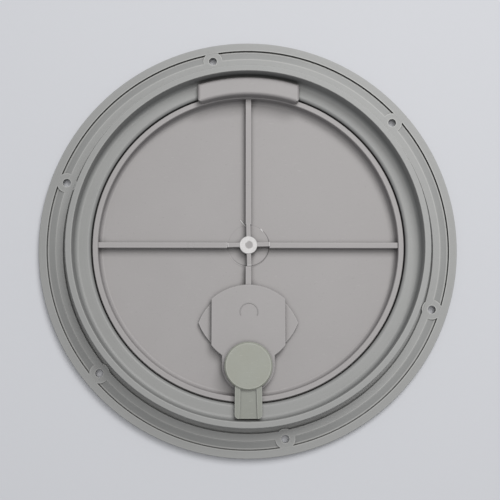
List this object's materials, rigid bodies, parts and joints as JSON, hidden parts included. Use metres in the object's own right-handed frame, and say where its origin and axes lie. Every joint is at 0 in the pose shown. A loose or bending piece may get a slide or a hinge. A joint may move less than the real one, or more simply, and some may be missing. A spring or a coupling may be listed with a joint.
{
  "type": "access hatch",
  "caption": "Round flush access hatch for a deck: screw-down frame with a tall collar, gasketed lid with cross ribs and a hook tab, and a turning latch with a flush fold-out handle.",
  "frame": {"origin": "centre of the outer face of the frame and lid, on the surface that the hatch lies on face down", "axes": "+Z points out of the inner side, the side below deck, so the hatch lies face down; -Y points from the lid's centre to the latch, +Y to the hook tab"},
  "size_m": [0.25, 0.25, 0.0223],
  "materials": {
    "frame_plastic": "satin moulded grey plastic",
    "lid_plastic": "satin moulded grey plastic",
    "latch_plastic": "satin moulded green-grey plastic",
    "washer_plastic": "smooth white plastic",
    "seal_rubber": "soft black rubber",
    "stainless": "turned stainless steel"
  },
  "bodies": {
    "frame": {"frame": "frame_plastic"},
    "lid": {"lid": "lid_plastic", "lid_seal": "seal_rubber"},
    "latch": {"latch_rotor": "latch_plastic", "spindle_seal": "seal_rubber", "thrust_washer": "washer_plastic", "cam_tongue": "latch_plastic", "screw_washer": "stainless", "latch_screw": "stainless", "cam_cap": "latch_plastic", "handle_pin": "stainless"},
    "handle": {"turn_handle": "lid_plastic"}
  },
  "joints": [
    {"name": "lid_turn", "type": "hinge", "parent": "frame", "child": "lid", "pos_m": [0, 0, 0], "axis": [0, 0, 1], "continuous": true},
    {"name": "latch_turn", "type": "hinge", "parent": "lid", "child": "latch", "pos_m": [0, -0.071, 0.01], "axis": [0, 0, 1], "range_deg": [0, 90]},
    {"name": "handle_lift", "type": "hinge", "parent": "latch", "child": "handle", "pos_m": [0, -0.076, 0.0029], "axis": [-1, 0, 0], "range_deg": [0, 90]}
  ],
  "couplings": [
    {"joint": "handle_lift", "follows": "latch_turn", "ratio": 1}
  ]
}
